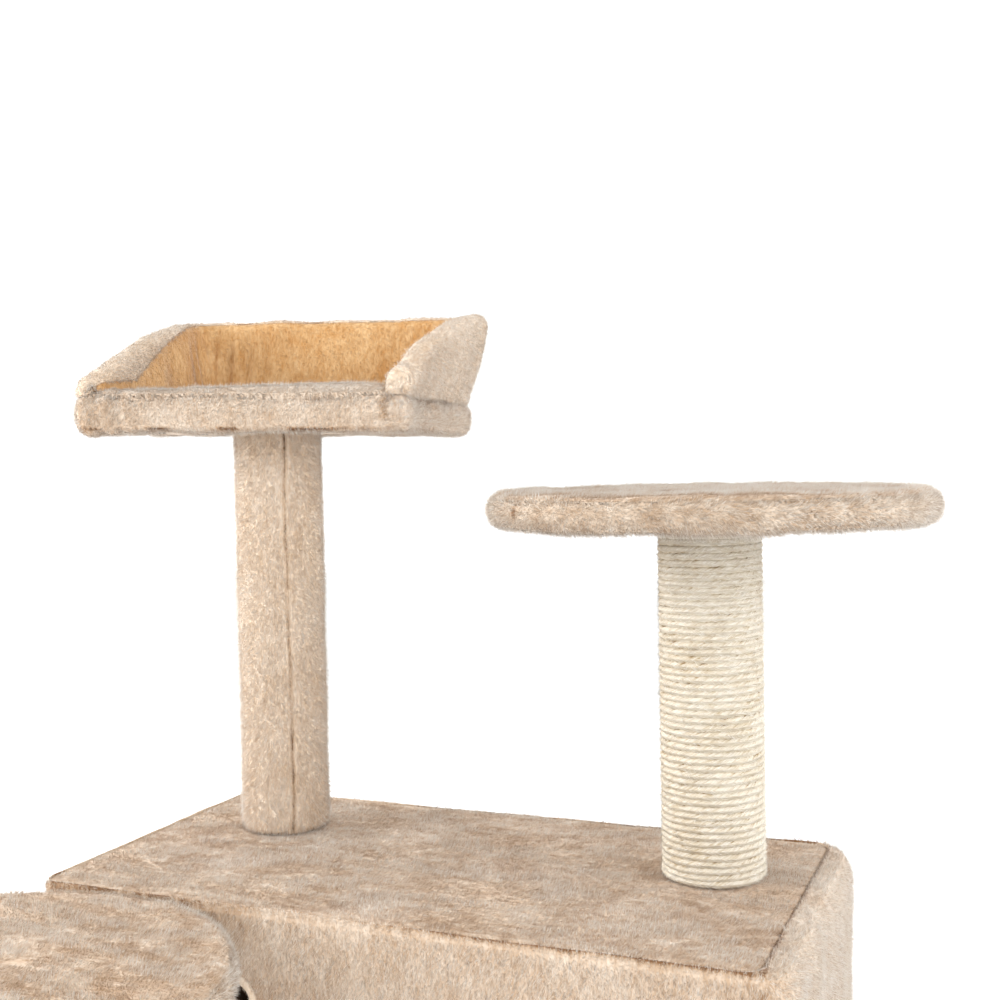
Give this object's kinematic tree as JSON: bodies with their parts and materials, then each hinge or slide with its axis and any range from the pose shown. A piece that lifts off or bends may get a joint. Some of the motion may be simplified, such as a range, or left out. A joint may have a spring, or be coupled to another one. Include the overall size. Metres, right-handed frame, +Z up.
{
  "type": "cat tree",
  "caption": "Plush-covered cat tree: a long box with a doorway on a base board, a rope post with a round perch, a plush post with a walled bed, and a round step.",
  "frame": {"origin": "centre of the base's underside, which rests on the floor", "axes": "+Z up, +Y towards the back, +X to the right as seen from the front, where the doorway and the step are"},
  "size_m": [0.749, 0.712, 0.798],
  "materials": {
    "plush": "short-pile beige plush",
    "lining": "warm beige fleece",
    "rope": "natural twisted sisal",
    "board": "raw particle board",
    "card": "spiral-wound cardboard",
    "foam": "soft foam sheet",
    "backing": "brown non-woven cloth",
    "steel": "zinc-plated"
  },
  "bodies": {
    "root": {"base_board": "board", "base_cover": "plush", "base_backing": "backing", "box_front_panel": "board", "box_back_panel": "board", "box_left_panel": "board", "box_right_panel": "board", "box_top_panel": "board", "box_wall_cover": "plush", "box_top_cover": "plush", "box_lining": "lining", "door_trim": "plush", "box_panel_screws": "steel", "box_base_screws": "steel", "plush_post_tube": "card", "plush_post_cover": "plush", "plush_post_plugs": "board", "plush_post_inserts": "steel", "rope_post_tube": "card", "rope_post_rope": "rope", "rope_post_plugs": "board", "rope_post_inserts": "steel", "step_post_tube": "card", "step_post_rope": "rope", "step_post_plugs": "board", "step_post_inserts": "steel", "post_bolts": "steel", "post_washers": "steel", "deck_bolts": "steel", "perch_board": "board", "perch_foam": "foam", "perch_cover": "plush", "perch_staples": "steel", "step_board": "board", "step_foam": "foam", "step_cover": "plush", "step_staples": "steel", "bed_board": "board", "bed_foam": "foam", "bed_platform_cover": "plush", "bed_staples": "steel", "bed_back_wall_core": "foam", "bed_left_wall_core": "foam", "bed_right_wall_core": "foam", "bed_wall_cover": "plush", "bed_wall_lining": "lining"}
  },
  "joints": []
}
